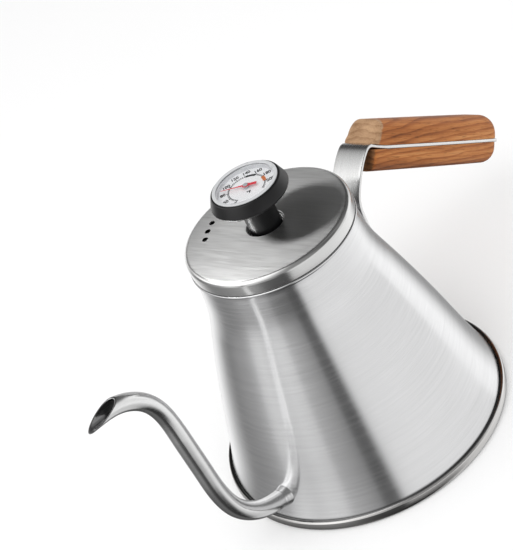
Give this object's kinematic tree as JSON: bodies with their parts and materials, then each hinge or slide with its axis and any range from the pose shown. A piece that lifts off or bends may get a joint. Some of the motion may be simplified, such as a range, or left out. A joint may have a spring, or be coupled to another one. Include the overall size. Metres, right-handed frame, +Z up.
{
  "type": "gooseneck kettle",
  "caption": "Stovetop pour-over kettle: brushed steel cone body, gooseneck spout, lift-off lid with a pull-out dial thermometer, and an arched strap handle with wooden grips.",
  "frame": {"origin": "centre of the base's underside, on the surface the kettle stands on", "axes": "+Z up the kettle's axis, -X towards the spout, +X towards the handle, XZ is the plane of symmetry"},
  "size_m": [0.3082, 0.15, 0.1575],
  "materials": {
    "body_steel": "brushed around the cone, satin sheen",
    "base_steel": "satin, spun",
    "inner_steel": "satin",
    "spreader_aluminium": "plain, hidden",
    "spout_steel": "satin, nearly polished",
    "strap_steel": "satin, brushed along its length",
    "lid_steel": "straight brushed on top, polished edge",
    "grip_wood": "oiled warm brown, open grain along the handle",
    "fastener_steel": "plain stainless",
    "silicone_grey": "matt",
    "black_moulding": "fine satin texture",
    "can_steel": "bright",
    "spacer_plastic": "plain",
    "dial_white": "white printed face",
    "gasket_grey": "matt light grey",
    "lens_clear": "clear, glossy",
    "bezel_metal": "bright",
    "probe_steel": "polished",
    "brass_bush": "plain",
    "coil_bimetal": "plain",
    "pointer_red": "red enamel",
    "hub_grey": "turned",
    "dial_print": "dark grey print",
    "dial_accent": "orange print"
  },
  "bodies": {
    "kettle": {"body_shell": "body_steel", "floor_plate": "inner_steel", "heat_spreader": "spreader_aluminium", "base_cap": "base_steel", "spout_tube": "spout_steel", "spout_collar": "spout_steel", "handle_strap": "strap_steel", "grip_upper": "grip_wood", "grip_lower": "grip_wood", "grip_screws": "fastener_steel", "grip_nuts": "fastener_steel"},
    "lid": {"lid_shell": "lid_steel", "lid_plug_ring": "inner_steel", "lid_grommet": "silicone_grey"},
    "thermometer": {"gauge_housing": "black_moulding", "stem_base": "black_moulding", "gauge_can": "can_steel", "stem_collar": "can_steel", "clamp_nut": "fastener_steel", "dial_spacer": "spacer_plastic", "dial_plate": "dial_white", "lens_gasket": "gasket_grey", "gauge_lens": "lens_clear", "gauge_bezel": "bezel_metal", "probe_tube": "probe_steel", "probe_tip": "probe_steel", "bimetal_coil": "coil_bimetal", "spindle_bush": "brass_bush"},
    "pointer": {"pointer": "pointer_red", "pointer_boss": "hub_grey", "spindle": "probe_steel"}
  },
  "joints": [
    {"name": "lid_lift", "type": "slide", "parent": "kettle", "child": "lid", "axis": [0, 0, 1], "range_m": [0, 0.125]},
    {"name": "thermometer_pull", "type": "slide", "parent": "lid", "child": "thermometer", "axis": [0, 0, 1], "range_m": [0, 0.12]},
    {"name": "pointer_turn", "type": "hinge", "parent": "thermometer", "child": "pointer", "pos_m": [0, 0, 0.156], "axis": [0, 0, 1], "range_deg": [-199, 69]}
  ]
}
